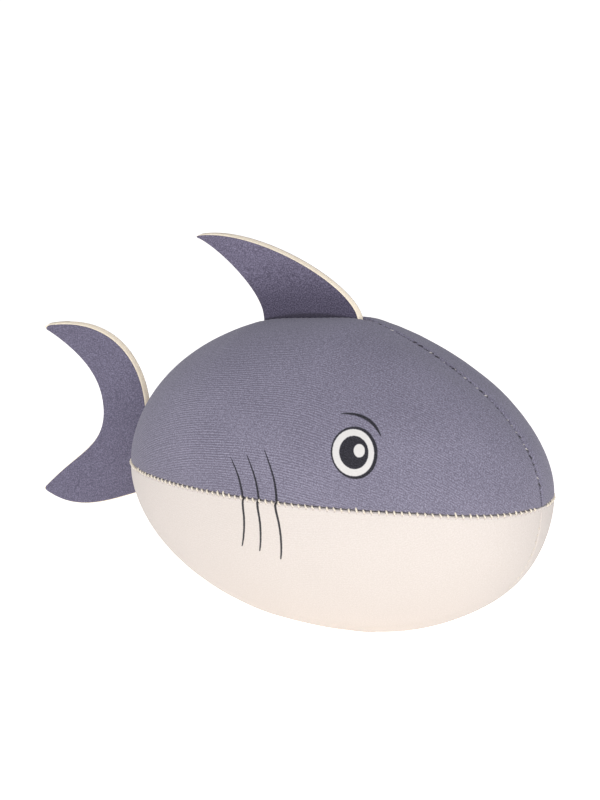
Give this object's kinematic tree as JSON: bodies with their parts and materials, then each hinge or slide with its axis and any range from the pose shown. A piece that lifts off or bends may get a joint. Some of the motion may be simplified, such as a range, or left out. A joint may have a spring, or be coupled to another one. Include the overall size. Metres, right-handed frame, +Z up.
{
  "type": "stuffed toy shark",
  "caption": "Soft toy shark: a plump sewn body of grey and cream neoprene panels over fibre filling, with a bendable dorsal fin and crescent tail fin sewn into its seams.",
  "frame": {"origin": "on the flat that the settled belly rests on, in the toy's middle plane, under the middle of the body's length", "axes": "+X to the nose, +Y to the shark's left side, +Z up"},
  "size_m": [0.2106, 0.108, 0.1376],
  "materials": {
    "slate_jersey": "fine ribbed polyester jersey on neoprene, slate grey with a violet cast, matt",
    "cream_jersey": "fine ribbed polyester jersey on neoprene, warm cream, matt",
    "foam": "cut edge of cream sponge neoprene, matt",
    "pale_thread": "cream polyester sewing thread",
    "dark_thread": "dark grey polyester sewing thread",
    "fibre": "white polyester fibre filling, packed firm"
  },
  "bodies": {
    "body": {"upper_left_panel": "slate_jersey", "upper_right_panel": "slate_jersey", "lower_left_panel": "cream_jersey", "lower_right_panel": "cream_jersey", "fibre_filling": "fibre", "dorsal_fin_root": "slate_jersey", "tail_fin_root": "slate_jersey", "front_back_thread": "dark_thread", "rear_back_thread": "dark_thread", "belly_thread": "pale_thread", "left_side_thread": "pale_thread", "right_side_thread": "pale_thread", "dorsal_left_thread": "dark_thread", "dorsal_right_thread": "dark_thread", "tail_left_thread": "dark_thread", "tail_right_thread": "dark_thread"},
    "dorsal_fin": {"dorsal_fin_foam": "foam", "dorsal_fin_left_face": "slate_jersey", "dorsal_fin_right_face": "slate_jersey"},
    "tail_fin": {"tail_fin_foam": "foam", "tail_fin_left_face": "slate_jersey", "tail_fin_right_face": "slate_jersey"}
  },
  "joints": [
    {"name": "dorsal_fin_flex", "type": "hinge", "parent": "body", "child": "dorsal_fin", "pos_m": [-0.01175, 0, 0.1129], "axis": [1, 0, 0], "range_deg": [-60, 60], "stiffness_Nm_per_rad": 0.02},
    {"name": "tail_fin_flex", "type": "hinge", "parent": "body", "child": "tail_fin", "pos_m": [-0.0839, 0, 0.0505], "axis": [0, 0, 1], "range_deg": [-55, 55], "stiffness_Nm_per_rad": 0.03}
  ]
}
